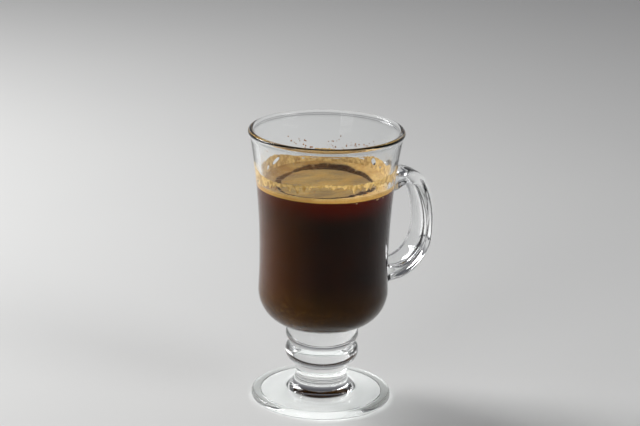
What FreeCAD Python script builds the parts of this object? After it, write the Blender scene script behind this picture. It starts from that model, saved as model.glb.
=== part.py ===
import FreeCAD, Part
import math
import os

import Sketcher

# A footed glass mug with a pressed handle, filled with coffee under a thin foam.
# The frame stands on the table plane: the origin is the centre of the foot's underside,
# +Z is up the glass and the handle points along +X. Millimetres and degrees.

SIZES = (
    ("height", 143.0, "table to the top of the rim"),
    ("rim_radius", 39.5, "outermost point of the rim bead"),
    ("bead_round", 1.5, "section radius of the rim bead"),
    ("waist_radius", 32.85, "outside of the bowl at its narrowest"),
    ("waist_level", 75.0, "height of the narrowest point"),
    ("bead_step", 0.85, "how far the rim bead stands out of the bowl's side"),
    ("wall", 3.5, "glass thickness at the waist"),
    ("bowl_bottom", 40.2, "lowest point of the bowl's outer curve"),
    ("bowl_round", 18.5, "outer corner at the bowl's bottom"),
    ("floor_glass", 4.0, "glass between the bowl's outer curve and the drink"),
    ("floor_round", 17.0, "inner corner at the bowl's floor"),
    ("ring_radius", 18.7, "upper ring of the stem"),
    ("ring_round", 6.0, "section radius of the upper ring"),
    ("ring_level", 35.3, "height of the upper ring's widest line"),
    ("knop_radius", 18.8, "lower ring of the stem"),
    ("knop_round", 6.4, "section radius of the lower ring"),
    ("knop_level", 25.6, "height of the lower ring's widest line"),
    ("neck_radius", 13.3, "narrow neck over the foot"),
    ("neck_flare", 7.0, "hollow curve from the neck into the foot"),
    ("foot_radius", 36.0, "outside of the foot"),
    ("foot_edge", 1.9, "half the thickness of the foot's round edge"),
    ("foot_slope", 9.0, "rise of the foot's top, in degrees"),
    ("hollow_radius", 30.5, "hollow under the foot, inside its resting ring"),
    ("hollow_step", 0.9, "depth of the hollow at its edge"),
    ("hollow_depth", 2.2, "depth of the hollow at the axis"),
    ("arm_top", 114.2, "centre line of the handle's upper arm"),
    ("arm_bottom", 64.3, "centre line of the handle's lower arm"),
    ("handle_reach", 56.5, "axis to the centre line of the handle's back"),
    ("handle_middle", 88.8, "height at which the handle reaches furthest"),
    ("handle_bow", 49.0, "bend radius of the handle's back"),
    ("bend_top", 7.5, "bend radius at the upper arm"),
    ("bend_bottom", 20.5, "bend radius at the lower arm"),
    ("grip_width", 15.6, "width of the handle across its back"),
    ("grip_depth", 6.9, "thickness of the handle at its back"),
    ("arm_width", 15.8, "width of both arms where their bends begin"),
    ("arm_top_depth", 6.8, "thickness of the upper arm where its bend begins"),
    ("arm_bottom_depth", 8.4, "thickness of the lower arm where its bend begins"),
    ("root_width", 21.0, "width of both arms where they start inside the bowl"),
    ("root_top_depth", 17.0, "thickness of the upper arm where it starts"),
    ("root_bottom_depth", 13.4, "thickness of the lower arm where it starts"),
    ("root_drop", 3.8, "how far the upper arm starts below its centre line"),
    ("grip_round", 2.6, "rounded edges of the handle"),
    ("root_sink", 8.0, "depth inside the bowl's outside at which both arms start"),
    ("root_blend", 2.0, "hollow curve where the handle runs into the bowl"),
    ("coffee_level", 114.0, "underside of the foam"),
    ("foam_depth", 0.9, "thickness of the foam away from the wall"),
    ("foam_creep", 1.9, "how much higher the foam stands at the wall"),
    ("foam_flat_radius", 25.0, "level middle of the foam"),
    ("foam_creep_width", 7.5, "width of the foam's raised edge"),
    ("spare", 6.0, "how far cutting shapes run past what they cut"),
)

QUARTER = math.radians(90)
HALF = math.radians(180)
NORMAL = FreeCAD.Vector(0, 0, 1)
START, END, CENTRE = 1, 2, 3
ORIGIN = (-1, 1)
NEAR = 0.02

doc = FreeCAD.newDocument("coffee_mug")


def make_sheet():
    """The driving dimensions, one per row, with the name as the cell's alias."""
    sheet = doc.addObject("Spreadsheet::Sheet", "sizes")
    for row, (name, value, meaning) in enumerate(SIZES, start=1):
        sheet.set("A%d" % row, name)
        sheet.set("B%d" % row, str(value))
        sheet.set("C%d" % row, meaning)
        sheet.setAlias("B%d" % row, name)
    doc.recompute()
    return sheet


sizes = make_sheet()


def size(name):
    """The present value of one named dimension."""
    return float(sizes.get(name))


class Outline:
    """A sketch on one of a body's own planes, drawn as a chain of lines and arcs."""

    def __init__(self, body, name, role):
        self.sketch = body.newObject("Sketcher::SketchObject", name)
        plane = [f for f in body.Origin.OriginFeatures if f.Role == role][0]
        self.sketch.AttachmentSupport = [(plane, "")]
        self.sketch.MapMode = "FlatFace"

    def line(self, start, end):
        edge = Part.LineSegment(FreeCAD.Vector(*start, 0), FreeCAD.Vector(*end, 0))
        return self.sketch.addGeometry(edge, False)

    def arc(self, centre, radius, start, end):
        circle = Part.Circle(FreeCAD.Vector(*centre, 0), NORMAL, radius)
        return self.sketch.addGeometry(Part.ArcOfCircle(circle, start, end), False)

    def guide_point(self, place):
        return self.sketch.addGeometry(Part.Point(FreeCAD.Vector(*place, 0)), True)

    def rule(self, kind, *where):
        return self.sketch.addConstraint(Sketcher.Constraint(kind, *where))

    def join(self, first, first_end, second, second_end):
        self.rule("Coincident", first, first_end, second, second_end)

    def smooth(self, first, first_end, second, second_end):
        self.rule("Tangent", first, first_end, second, second_end)

    def bind(self, expression, kind, *where):
        """A dimension that follows an expression in the sheet's names."""
        index = self.rule(kind, *where)
        self.sketch.setExpression("Constraints[%d]" % index, expression)

    def across(self, expression, now, edge, point):
        self.bind(expression, "DistanceX", *ORIGIN, edge, point, now)

    def above(self, expression, now, edge, point):
        self.bind(expression, "DistanceY", *ORIGIN, edge, point, now)

    def radius(self, name, edge):
        self.bind("sizes." + name, "Radius", edge, size(name))

    def measure(self, name, kind, now, edge, point):
        """A dimension that is read off the sketch, for others to follow by its name."""
        index = self.rule(kind, *ORIGIN, edge, point, now)
        self.sketch.setDriving(index, False)
        self.sketch.renameConstraint(index, name)


def meeting_angle(centre, radius, other_centre, other_radius, side):
    """The direction, seen from centre, of one crossing of two circles."""
    gap_x = other_centre[0] - centre[0]
    gap_y = other_centre[1] - centre[1]
    gap = math.hypot(gap_x, gap_y)
    opening = math.acos((radius**2 + gap**2 - other_radius**2) / (2 * radius * gap))
    return math.atan2(gap_y, gap_x) + side * opening


def revolve(body, outline, name, feature="PartDesign::Revolution"):
    """The outline turned once about the upright axis."""
    turned = body.newObject(feature, name)
    turned.Profile = outline.sketch
    turned.ReferenceAxis = (outline.sketch, ["V_Axis"])
    turned.Angle = 360
    outline.sketch.Visibility = False
    doc.recompute()
    return turned


def bead_centre():
    return size("rim_radius") - size("bead_round"), size("height") - size("bead_round")


def under_bead():
    """The point where the bowl's side runs into the rim bead from below."""
    bead = size("bead_round")
    centre = bead_centre()
    out = bead - size("bead_step")
    return centre[0] + out, centre[1] - math.sqrt(bead**2 - out**2)


def waist_curve():
    """Centre and radius of the hollow curve that the bowl's outside follows."""
    top = under_bead()
    spread = top[0] - size("waist_radius")
    rise = top[1] - size("waist_level")
    flare = (spread**2 + rise**2) / (2 * spread)
    return (size("waist_radius") + flare, size("waist_level")), flare


def bowl_corner_centre():
    """Centre of the bowl's lower corner, which meets the hollow curve tangentially."""
    centre, flare = waist_curve()
    level = size("bowl_bottom") + size("bowl_round")
    reach = flare + size("bowl_round")
    return centre[0] - math.sqrt(reach**2 - (centre[1] - level) ** 2), level


def draw_outside(body):
    """Half section of the glass as if it were solid: foot, neck, two rings, bowl, rim."""
    rim = size("height")
    edge = size("foot_edge")
    edge_at = (size("foot_radius") - edge, edge)
    slope = math.radians(size("foot_slope"))
    flare = size("neck_flare")
    neck = size("neck_radius")
    knop = size("knop_round")
    knop_at = (size("knop_radius") - knop, size("knop_level"))
    ring = size("ring_round")
    ring_at = (size("ring_radius") - ring, size("ring_level"))
    corner = size("bowl_round")
    corner_at = bowl_corner_centre()
    waist_at, waist = waist_curve()
    bead = size("bead_round")
    bead_at = bead_centre()

    edge_top = (edge_at[0] + edge * math.sin(slope), edge_at[1] + edge * math.cos(slope))
    flare_x = neck + flare
    touch_x = flare_x - flare * math.sin(slope)
    touch_y = edge_top[1] + (edge_top[0] - touch_x) * math.tan(slope)
    flare_at = (flare_x, touch_y + flare * math.cos(slope))
    neck_drop = math.acos((neck - knop_at[0]) / knop)
    knop_end = meeting_angle(knop_at, knop, ring_at, ring, -1)
    ring_start = meeting_angle(ring_at, ring, knop_at, knop, 1)
    ring_end = meeting_angle(ring_at, ring, corner_at, corner, -1)
    corner_start = meeting_angle(corner_at, corner, ring_at, ring, 1)
    tilt = math.asin((waist_at[1] - corner_at[1]) / (waist + corner))
    joint = under_bead()
    bead_start = math.atan2(joint[1] - bead_at[1], joint[0] - bead_at[0])
    waist_end = HALF - math.atan2(joint[1] - waist_at[1], waist_at[0] - joint[0])

    out = Outline(body, "outside", "XZ_Plane")
    under = out.line((0, 0), (edge_at[0], 0))
    lip = out.arc(edge_at, edge, -QUARTER, QUARTER - slope)
    top = out.line(edge_top, (touch_x, touch_y))
    spread = out.arc(flare_at, flare, HALF, HALF + QUARTER - slope)
    knop_low = knop_at[1] - knop * math.sin(neck_drop)
    stem = out.line((neck, flare_at[1]), (neck, knop_low))
    lower = out.arc(knop_at, knop, -neck_drop, knop_end)
    upper = out.arc(ring_at, ring, ring_start, ring_end)
    bowl = out.arc(corner_at, corner, corner_start, tilt)
    side = out.arc(waist_at, waist, waist_end, HALF + tilt)
    bead_arc = out.arc(bead_at, bead, bead_start, QUARTER)
    lid = out.line((bead_at[0], rim), (0, rim))
    axis = out.line((0, rim), (0, 0))
    nearest = out.guide_point((size("waist_radius"), waist_at[1]))

    out.join(under, START, *ORIGIN)
    out.rule("Horizontal", under)
    out.smooth(under, END, lip, START)
    out.smooth(lip, END, top, START)
    out.smooth(top, END, spread, END)
    out.smooth(spread, START, stem, START)
    out.rule("Vertical", stem)
    out.join(stem, END, lower, START)
    out.join(lower, END, upper, START)
    out.join(upper, END, bowl, START)
    out.smooth(bowl, END, side, END)
    out.join(side, START, bead_arc, START)
    out.smooth(bead_arc, END, lid, START)
    out.rule("Horizontal", lid)
    out.join(lid, END, axis, START)
    out.join(axis, END, *ORIGIN)
    out.rule("Vertical", axis)

    out.across("sizes.foot_radius - sizes.foot_edge", edge_at[0], lip, CENTRE)
    out.radius("foot_edge", lip)
    out.bind("180 - sizes.foot_slope", "Angle", under, START, top, START, HALF - slope)
    out.radius("neck_flare", spread)
    out.across("sizes.neck_radius", neck, stem, START)
    out.radius("knop_round", lower)
    out.across("sizes.knop_radius - sizes.knop_round", knop_at[0], lower, CENTRE)
    out.above("sizes.knop_level", knop_at[1], lower, CENTRE)
    out.radius("ring_round", upper)
    out.across("sizes.ring_radius - sizes.ring_round", ring_at[0], upper, CENTRE)
    out.above("sizes.ring_level", ring_at[1], upper, CENTRE)
    out.radius("bowl_round", bowl)
    out.above("sizes.bowl_bottom + sizes.bowl_round", corner_at[1], bowl, CENTRE)
    out.rule("PointOnObject", nearest, START, side)
    out.across("sizes.waist_radius", size("waist_radius"), nearest, START)
    out.above("sizes.waist_level", waist_at[1], nearest, START)
    out.above("sizes.waist_level", waist_at[1], side, CENTRE)
    out.across("sizes.rim_radius - sizes.bead_step", joint[0], side, START)
    out.radius("bead_round", bead_arc)
    out.across("sizes.rim_radius - sizes.bead_round", bead_at[0], bead_arc, CENTRE)
    out.above("sizes.height - sizes.bead_round", bead_at[1], bead_arc, CENTRE)
    return out


def inner_curve():
    """Centre and radius of the inside's hollow curve: it keeps the wall at the waist
    and runs tangentially into the inside of the rim bead."""
    bead_x, bead_z = bead_centre()
    bead = size("bead_round")
    nearest = size("waist_radius") - size("wall")
    rise = bead_z - size("waist_level")
    spread = bead_x - nearest
    radius = (spread**2 + rise**2 - bead**2) / (2 * (spread - bead))
    return (nearest + radius, size("waist_level")), radius


def draw_inside(body):
    """Half section of the bowl's inside, running on past the rim."""
    floor = size("bowl_bottom") + size("floor_glass")
    corner = size("floor_round")
    wall_at, wall = inner_curve()
    level = floor + corner
    corner_x = wall_at[0] - math.sqrt((wall + corner) ** 2 - (wall_at[1] - level) ** 2)
    corner_at = (corner_x, level)
    bead = size("bead_round")
    bead_at = bead_centre()
    rim = size("height")
    top = rim + size("spare")
    low_tilt = math.asin((wall_at[1] - level) / (wall + corner))
    high_tilt = math.atan2(bead_at[1] - wall_at[1], wall_at[0] - bead_at[0])

    inside = Outline(body, "inside", "XZ_Plane")
    axis = inside.line((0, floor), (0, top))
    lid = inside.line((0, top), (bead_at[0], top))
    side = inside.line((bead_at[0], top), (bead_at[0], rim))
    lip = inside.arc(bead_at, bead, QUARTER, HALF - high_tilt)
    face = inside.arc(wall_at, wall, HALF - high_tilt, HALF + low_tilt)
    bend = inside.arc(corner_at, corner, -QUARTER, low_tilt)
    base = inside.line((corner_x, floor), (0, floor))
    nearest = inside.guide_point((wall_at[0] - wall, wall_at[1]))

    inside.join(axis, END, lid, START)
    inside.join(lid, END, side, START)
    inside.join(side, END, lip, START)
    inside.smooth(lip, END, face, START)
    inside.smooth(face, END, bend, END)
    inside.smooth(bend, START, base, START)
    inside.join(base, END, axis, START)
    inside.rule("Vertical", axis)
    inside.rule("Horizontal", lid)
    inside.rule("Vertical", side)
    inside.rule("Horizontal", base)
    inside.rule("PointOnObject", axis, START, -2)
    inside.rule("PointOnObject", nearest, START, face)

    inside.above("sizes.bowl_bottom + sizes.floor_glass", floor, axis, START)
    inside.above("sizes.height + sizes.spare", top, lid, START)
    inside.rule("Vertical", lip, CENTRE, lip, START)
    inside.across("sizes.rim_radius - sizes.bead_round", bead_at[0], lip, CENTRE)
    inside.above("sizes.height - sizes.bead_round", bead_at[1], lip, CENTRE)
    inside.radius("bead_round", lip)
    inside.above("sizes.waist_level", wall_at[1], face, CENTRE)
    wall_now = wall_at[0] - wall
    inside.across("sizes.waist_radius - sizes.wall", wall_now, nearest, START)
    inside.above("sizes.waist_level", wall_at[1], nearest, START)
    inside.radius("floor_round", bend)
    return inside


def draw_hollow(body):
    """Half section of the shallow hollow under the foot."""
    reach = size("hollow_radius")
    step = size("hollow_step")
    depth = size("hollow_depth")
    below = -size("spare")
    radius = (reach**2 + (depth - step) ** 2) / (2 * (depth - step))
    spread = math.asin(reach / radius)

    hollow = Outline(body, "hollow", "XZ_Plane")
    axis = hollow.line((0, below), (0, depth))
    dome = hollow.arc((0, depth - radius), radius, QUARTER - spread, QUARTER)
    side = hollow.line((reach, step), (reach, below))
    base = hollow.line((reach, below), (0, below))
    hollow.join(axis, END, dome, END)
    hollow.join(dome, START, side, START)
    hollow.join(side, END, base, START)
    hollow.join(base, END, axis, START)
    hollow.rule("Vertical", axis)
    hollow.rule("Vertical", side)
    hollow.rule("Horizontal", base)
    hollow.rule("PointOnObject", axis, START, -2)
    hollow.rule("PointOnObject", dome, CENTRE, -2)
    hollow.above("sizes.hollow_depth", depth, axis, END)
    hollow.across("sizes.hollow_radius", reach, side, START)
    hollow.above("sizes.hollow_step", step, side, START)
    hollow.bind("sizes.spare", "DistanceY", base, START, *ORIGIN, size("spare"))
    return hollow


def root_start():
    """Distance from the axis at which both arms of the handle begin, inside the bowl."""
    return size("waist_radius") - size("root_sink")


def draw_handle_path(body):
    """Centre line of the handle: arm, bend, bowed back, bend, arm, all tangential."""
    bow = size("handle_bow")
    bow_at = (size("handle_reach") - bow, size("handle_middle"))
    top = size("bend_top")
    low = size("bend_bottom")
    top_z = size("arm_top") - top
    low_z = size("arm_bottom") + low
    top_x = bow_at[0] + math.sqrt((bow - top) ** 2 - (top_z - bow_at[1]) ** 2)
    low_x = bow_at[0] + math.sqrt((bow - low) ** 2 - (low_z - bow_at[1]) ** 2)
    high = math.atan2(top_z - bow_at[1], top_x - bow_at[0])
    deep = math.atan2(low_z - bow_at[1], low_x - bow_at[0])
    start = root_start()

    path = Outline(body, "handle_path", "XZ_Plane")
    upper = path.line((start, size("arm_top")), (top_x, size("arm_top")))
    shoulder = path.arc((top_x, top_z), top, high, QUARTER)
    back = path.arc(bow_at, bow, deep, high)
    heel = path.arc((low_x, low_z), low, -QUARTER, deep)
    lower = path.line((low_x, size("arm_bottom")), (start, size("arm_bottom")))
    path.smooth(upper, END, shoulder, END)
    path.smooth(shoulder, START, back, END)
    path.smooth(back, START, heel, END)
    path.smooth(heel, START, lower, START)
    path.rule("Horizontal", upper)
    path.rule("Horizontal", lower)
    path.radius("bend_top", shoulder)
    path.radius("handle_bow", back)
    path.radius("bend_bottom", heel)
    path.across("sizes.waist_radius - sizes.root_sink", start, upper, START)
    path.across("sizes.waist_radius - sizes.root_sink", start, lower, END)
    path.above("sizes.arm_top", size("arm_top"), upper, START)
    path.above("sizes.arm_bottom", size("arm_bottom"), lower, END)
    path.across("sizes.handle_reach - sizes.handle_bow", bow_at[0], back, CENTRE)
    path.above("sizes.handle_middle", bow_at[1], back, CENTRE)
    path.measure("upper_bend", "DistanceX", top_x, shoulder, END)
    path.measure("lower_bend", "DistanceX", low_x, heel, START)
    return path


def draw_bar(body, name, place, turn, width, depth):
    """A rounded bar section, square to the handle's path. place gives its distance from
    the axis and its height as expressions in the sheet's names, turn how far the path
    has turned down there, and width and depth name its size."""
    bar = Outline(body, name, "YZ_Plane")
    turned = FreeCAD.Rotation(FreeCAD.Vector(1, 0, 0), turn)
    bar.sketch.AttachmentOffset = FreeCAD.Placement(FreeCAD.Vector(), turned)
    bar.sketch.setExpression("AttachmentOffset.Base.z", place[0])
    bar.sketch.setExpression("AttachmentOffset.Base.y", place[1])
    half_x = size(width) / 2
    half_y = size(depth) / 2
    bend = size("grip_round")
    flat_x = half_x - bend
    flat_y = half_y - bend
    corners = ((flat_x, flat_y), (-flat_x, flat_y), (-flat_x, -flat_y), (flat_x, -flat_y))
    arcs = []
    for turns, centre in enumerate(corners):
        arcs.append(bar.arc(centre, bend, turns * QUARTER, (turns + 1) * QUARTER))
    over = bar.line((flat_x, half_y), (-flat_x, half_y))
    left = bar.line((-half_x, flat_y), (-half_x, -flat_y))
    below = bar.line((-flat_x, -half_y), (flat_x, -half_y))
    right = bar.line((half_x, -flat_y), (half_x, flat_y))
    sides = (over, left, below, right)
    for turns, side in enumerate(sides):
        bar.smooth(arcs[turns], END, side, START)
        bar.smooth(side, END, arcs[(turns + 1) % 4], START)
        bar.rule("Horizontal" if turns % 2 == 0 else "Vertical", side)
        if turns:
            bar.rule("Equal", arcs[0], arcs[turns])
    bar.rule("Symmetric", arcs[0], CENTRE, arcs[2], CENTRE, *ORIGIN)
    bar.radius("grip_round", arcs[0])
    bar.bind("sizes." + width, "DistanceX", left, START, right, START, size(width))
    bar.bind("sizes." + depth, "DistanceY", below, START, over, START, size(depth))
    return bar.sketch


def add_handle(body):
    """The handle: rounded bar sections swept along the path, spread at both roots."""
    path = draw_handle_path(body)
    start = "sizes.waist_radius - sizes.root_sink"
    root_at = (start, "sizes.arm_top - sizes.root_drop")
    arm_at = ("handle_path.Constraints.upper_bend", "sizes.arm_top")
    back_at = ("sizes.handle_reach", "sizes.handle_middle")
    low_arm_at = ("handle_path.Constraints.lower_bend", "sizes.arm_bottom")
    low_root_at = (start, "sizes.arm_bottom")
    upper_root = draw_bar(body, "upper_root", root_at, 0, "root_width", "root_top_depth")
    upper_arm = draw_bar(body, "upper_arm", arm_at, 0, "arm_width", "arm_top_depth")
    back = draw_bar(body, "back", back_at, 90, "grip_width", "grip_depth")
    lower_arm = draw_bar(body, "lower_arm", low_arm_at, 180, "arm_width", "arm_bottom_depth")
    lower_root = draw_bar(
        body, "lower_root", low_root_at, 180, "root_width", "root_bottom_depth"
    )
    handle = body.newObject("PartDesign::AdditivePipe", "handle")
    handle.Profile = upper_root
    handle.Spine = path.sketch
    handle.Sections = [(bar, [""]) for bar in (upper_arm, back, lower_arm, lower_root)]
    handle.Transformation = "Multisection"
    doc.recompute()
    return handle


def bowl_radius(level):
    """Outside radius of the bowl at a height above its lower corner."""
    centre, flare = waist_curve()
    return centre[0] - math.sqrt(flare**2 - (level - centre[1]) ** 2)


def root_edges(shape):
    """Names of the edges where the handle's faces run into the bowl's outside."""
    found = []
    for number, edge in enumerate(shape.Edges, start=1):
        first, last = edge.ParameterRange
        spots = [edge.valueAt(first + part * (last - first)) for part in (0.25, 0.5, 0.75)]
        on_bowl = all(abs(math.hypot(p.x, p.y) - bowl_radius(p.z)) < NEAR for p in spots)
        beside = all(abs(p.y) < size("root_width") for p in spots)
        between = size("arm_bottom") - size("root_width") < spots[1].z < size("height")
        if on_bowl and beside and between and spots[0].x > 0:
            found.append("Edge%d" % number)
    return found


def blend_roots(body, handle):
    """A hollow curve all round each root of the handle."""
    blend = body.newObject("PartDesign::Fillet", "root_blend")
    blend.Base = (handle, root_edges(handle.Shape))
    blend.setExpression("Radius", "sizes.root_blend")
    doc.recompute()
    return blend


def check_document():
    """Stops when any object of the document failed to build."""
    failed = [o.Name for o in doc.Objects if {"Invalid", "Error"} & set(o.State)]
    if failed:
        raise SystemExit("not built: %s" % failed)


def round_resting_ring(body, groove):
    """Softens the inner edge of the ring that the foot rests on."""
    names = []
    for number, edge in enumerate(groove.Shape.Edges, start=1):
        middle = edge.valueAt(sum(edge.ParameterRange) / 2)
        if abs(middle.z) < NEAR and abs(math.hypot(middle.x, middle.y) - size("hollow_radius")) < NEAR:
            names.append("Edge%d" % number)
    softened = body.newObject("PartDesign::Fillet", "resting_ring")
    softened.Base = (groove, names)
    softened.setExpression("Radius", "sizes.hollow_step / 2")
    doc.recompute()
    return softened


def make_solid_glass():
    """The whole glass with its handle, before the bowl is hollowed."""
    body = doc.addObject("PartDesign::Body", "solid_glass")
    revolve(body, draw_outside(body), "foot_stem_and_bowl")
    full = body.Shape.Volume
    groove = revolve(body, draw_hollow(body), "foot_hollow", "PartDesign::Groove")
    if body.Shape.Volume >= full:
        raise SystemExit("the hollow under the foot removed nothing")
    round_resting_ring(body, groove)
    blend_roots(body, add_handle(body))
    return body


def make_bowl_space():
    """Everything inside the bowl: it hollows the glass and shapes what fills it."""
    body = doc.addObject("PartDesign::Body", "bowl_space")
    revolve(body, draw_inside(body), "inside_turned")
    return body


def combine(kind, name, base, tool):
    """A boolean of two objects, with the name as its label."""
    joined = doc.addObject(kind, name)
    joined.Label = name
    joined.Base = base
    joined.Tool = tool
    doc.recompute()
    return joined


def make_coffee(bowl_space):
    """The drink: all of the bowl's space from its floor to the underside of the foam."""
    fill = doc.addObject("Part::Cylinder", "coffee_fill")
    fill.setExpression("Radius", "sizes.rim_radius + sizes.spare")
    fill.setExpression("Height", "sizes.coffee_level")
    doc.recompute()
    return combine("Part::Common", "coffee", bowl_space, fill)


def draw_foam(body):
    """Half section of the foam: level in the middle, creeping up where it meets the wall."""
    low = size("coffee_level")
    flat = low + size("foam_depth")
    creep = size("foam_creep")
    width = size("foam_creep_width")
    bend_x = size("foam_flat_radius")
    edge_x = bend_x + width
    radius = (width**2 + creep**2) / (2 * creep)
    lift = math.asin(width / radius)
    past = size("rim_radius")

    foam = Outline(body, "foam_section", "XZ_Plane")
    base = foam.line((0, low), (past, low))
    side = foam.line((past, low), (past, flat + creep))
    crest = foam.line((past, flat + creep), (edge_x, flat + creep))
    rise = foam.arc((bend_x, flat + radius), radius, -QUARTER, lift - QUARTER)
    level = foam.line((bend_x, flat), (0, flat))
    axis = foam.line((0, flat), (0, low))
    foam.join(base, END, side, START)
    foam.join(side, END, crest, START)
    foam.join(crest, END, rise, END)
    foam.smooth(rise, START, level, START)
    foam.join(level, END, axis, START)
    foam.join(axis, END, base, START)
    foam.rule("Horizontal", base)
    foam.rule("Vertical", side)
    foam.rule("Horizontal", crest)
    foam.rule("Horizontal", level)
    foam.rule("Vertical", axis)
    foam.rule("PointOnObject", axis, END, -2)
    foam.above("sizes.coffee_level", low, base, START)
    foam.across("sizes.rim_radius", past, base, END)
    foam.above("sizes.coffee_level + sizes.foam_depth", flat, level, END)
    crest_level = "sizes.coffee_level + sizes.foam_depth + sizes.foam_creep"
    foam.above(crest_level, flat + creep, crest, END)
    foam.bind("sizes.foam_creep_width", "DistanceX", level, START, crest, END, width)
    foam.across("sizes.foam_flat_radius", bend_x, level, START)
    return foam


def make_foam(bowl_space):
    """The layer of foam that runs right through the drink, from wall to wall."""
    body = doc.addObject("PartDesign::Body", "foam_disc")
    revolve(body, draw_foam(body), "foam_turned")
    return combine("Part::Common", "foam", bowl_space, body)


def main():
    solid_glass = make_solid_glass()
    bowl_space = make_bowl_space()
    pieces = [
        combine("Part::Cut", "glass_mug", solid_glass, bowl_space),
        make_coffee(bowl_space),
        make_foam(bowl_space),
    ]
    doc.recompute()
    check_document()
    for piece in pieces:
        shape = piece.Shape
        if shape.isNull() or not shape.isValid() or len(shape.Solids) != 1:
            raise SystemExit("%s is not one sound solid" % piece.Label)
    os.makedirs("parts", exist_ok=True)
    for piece in pieces:
        piece.Shape.exportStep("parts/%s.step" % piece.Label)
        print("%-10s %9.0f mm3" % (piece.Label, piece.Shape.Volume))


main()
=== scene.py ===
"""A glass of frothy coffee: footed glass with a handle, dark coffee, a creamy foam and its dried marks."""
import bpy
import bmesh
import math
from mathutils import Matrix, Vector, noise


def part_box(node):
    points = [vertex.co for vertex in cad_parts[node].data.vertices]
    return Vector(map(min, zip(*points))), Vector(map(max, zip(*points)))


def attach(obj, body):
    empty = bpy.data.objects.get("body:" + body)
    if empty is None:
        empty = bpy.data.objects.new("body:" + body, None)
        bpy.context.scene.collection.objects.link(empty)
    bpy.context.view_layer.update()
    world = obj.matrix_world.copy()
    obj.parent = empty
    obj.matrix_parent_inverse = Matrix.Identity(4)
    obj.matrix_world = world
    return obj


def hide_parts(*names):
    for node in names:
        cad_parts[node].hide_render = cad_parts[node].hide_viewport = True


MM = 0.001
QUARTER = math.pi / 2
TURNS = 288                # divisions round the glass and what stands in it
FACING = -27.0             # degrees from the handle to the right-hand side of the front view
BITE = 0.12                # how far the drink reaches into the glass wall, so that no air shows
FOAM_BITE = BITE + 0.03    # the same for the foam
CRUST_BITE = 0.06          # the same for the dried foam
SHARP = math.radians(50)   # edges that turn by more than this stay sharp

# The glass, in millimetres.
RIM_RADIUS, BEAD, BEAD_STEP = 39.5, 1.5, 0.85
WAIST, WAIST_LEVEL, WALL = 32.85, 75.0, 3.5
BOWL_BOTTOM, BOWL_ROUND = 40.2, 18.5
FLOOR_GLASS, FLOOR_ROUND = 4.0, 17.0
RING, RING_ROUND, RING_LEVEL = 18.7, 6.0, 35.3
KNOP, KNOP_ROUND, KNOP_LEVEL = 18.8, 6.4, 25.6
NECK, NECK_FLARE = 13.3, 7.0
KNOP_JOIN, RING_JOIN, BEAD_JOIN = 0.7, 0.9, 0.35     # how far the small rounded hollows reach
FOOT, FOOT_EDGE, FOOT_SLOPE = 36.0, 1.9, math.radians(9)
HOLLOW, HOLLOW_STEP, HOLLOW_DEPTH = 30.5, 0.9, 2.2

# Its handle.
HANDLE_REACH, HANDLE_MIDDLE, HANDLE_BOW = 56.5, 88.8, 49.0
ARM_TOP, BEND_TOP = 114.2, 7.5
ARM_LOW, BEND_LOW = 64.3, 20.5
ARM_SAG, ARM_WIDE, ARM_SPREAD = 2.3, 7.9, 0.7              # extra depth at the bowl, half width, extra there
GRIP_THICK, GRIP_THICKENS, THICKENS_FROM = 3.4, 0.8, 55    # half thickness, its growth and where that starts
GRIP_WIDE, GRIP_WIDENS, WIDENS_FROM = 7.8, 0.5, 90         # the same for the half width
GRIP_ROUND, GRIP_CROWN = 2.6, 0.28
ROOT_START, ROOT_DEPTH = 38.0, 1.3
ROOT_STEPS, ROOT_TURN = 12, QUARTER * 0.86

# What stands in it and dried on it.
FOAM_RINGS, FOAM_CROWDING, FOAM_EDGE_ROWS = 84, 0.94, 6    # its rings crowd a little towards the wall
RIDGE_START, BARE_SINKS, LUMP_HEIGHT = 25.0, 0.22, 0.12
UNDER_FOAM = 30.0                                          # radius of the flat middle of its underside
CRUST_TURNS, CRUST_LEVELS = 900, 72
CRUST_LOW, CRUST_HIGH, CRUST_LEAST = 115.2, 126.0, 0.06    # levels, and the least amount that is kept
CRUST_THIN, CRUST_THICKENS, CRUST_FADE = 0.08, 0.14, 0.3
HELPER_TURNS = 240


# ---------------------------------------------------------------- places
def around(angle, reach, level):
    """A place given by its angle in the front view, its distance from the axis and its height."""
    a = math.radians(angle + FACING)
    return (reach * math.cos(a), reach * math.sin(a), level)


def apart(angle, other):
    """The turn from one angle to another, between -180 and 180 degrees."""
    return (angle - other + 180) % 360 - 180


def eased(t):
    """A fraction, held between 0 and 1, that starts and ends gently."""
    t = max(0.0, min(1.0, t))
    return t * t * (3 - 2 * t)


def between(rows, angle):
    """Values read round the glass from rows of (angle, values...), of which the first is at 0 degrees."""
    angle %= 360
    rows = rows + ((360, *rows[0][1:]),)
    low, high = next(pair for pair in zip(rows, rows[1:]) if angle <= pair[1][0])
    t = eased((angle - low[0]) / (high[0] - low[0]))
    return [a + (b - a) * t for a, b in zip(low[1:], high[1:])]


def compass(turns):
    """Directions round the upright axis."""
    return [(math.cos(2 * math.pi * k / turns), math.sin(2 * math.pi * k / turns)) for k in range(turns)]


def on_circle(centre, radius, angle):
    return centre[0] + radius * math.cos(angle), centre[1] + radius * math.sin(angle)


def arc(centre, radius, start, end, steps):
    return [on_circle(centre, radius, start + (end - start) * k / steps) for k in range(steps + 1)]


def straight(start, end, steps):
    """Evenly spaced points between two points, which aren't among them."""
    return [tuple(a + (b - a) * k / steps for a, b in zip(start, end)) for k in range(1, steps)]


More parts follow.
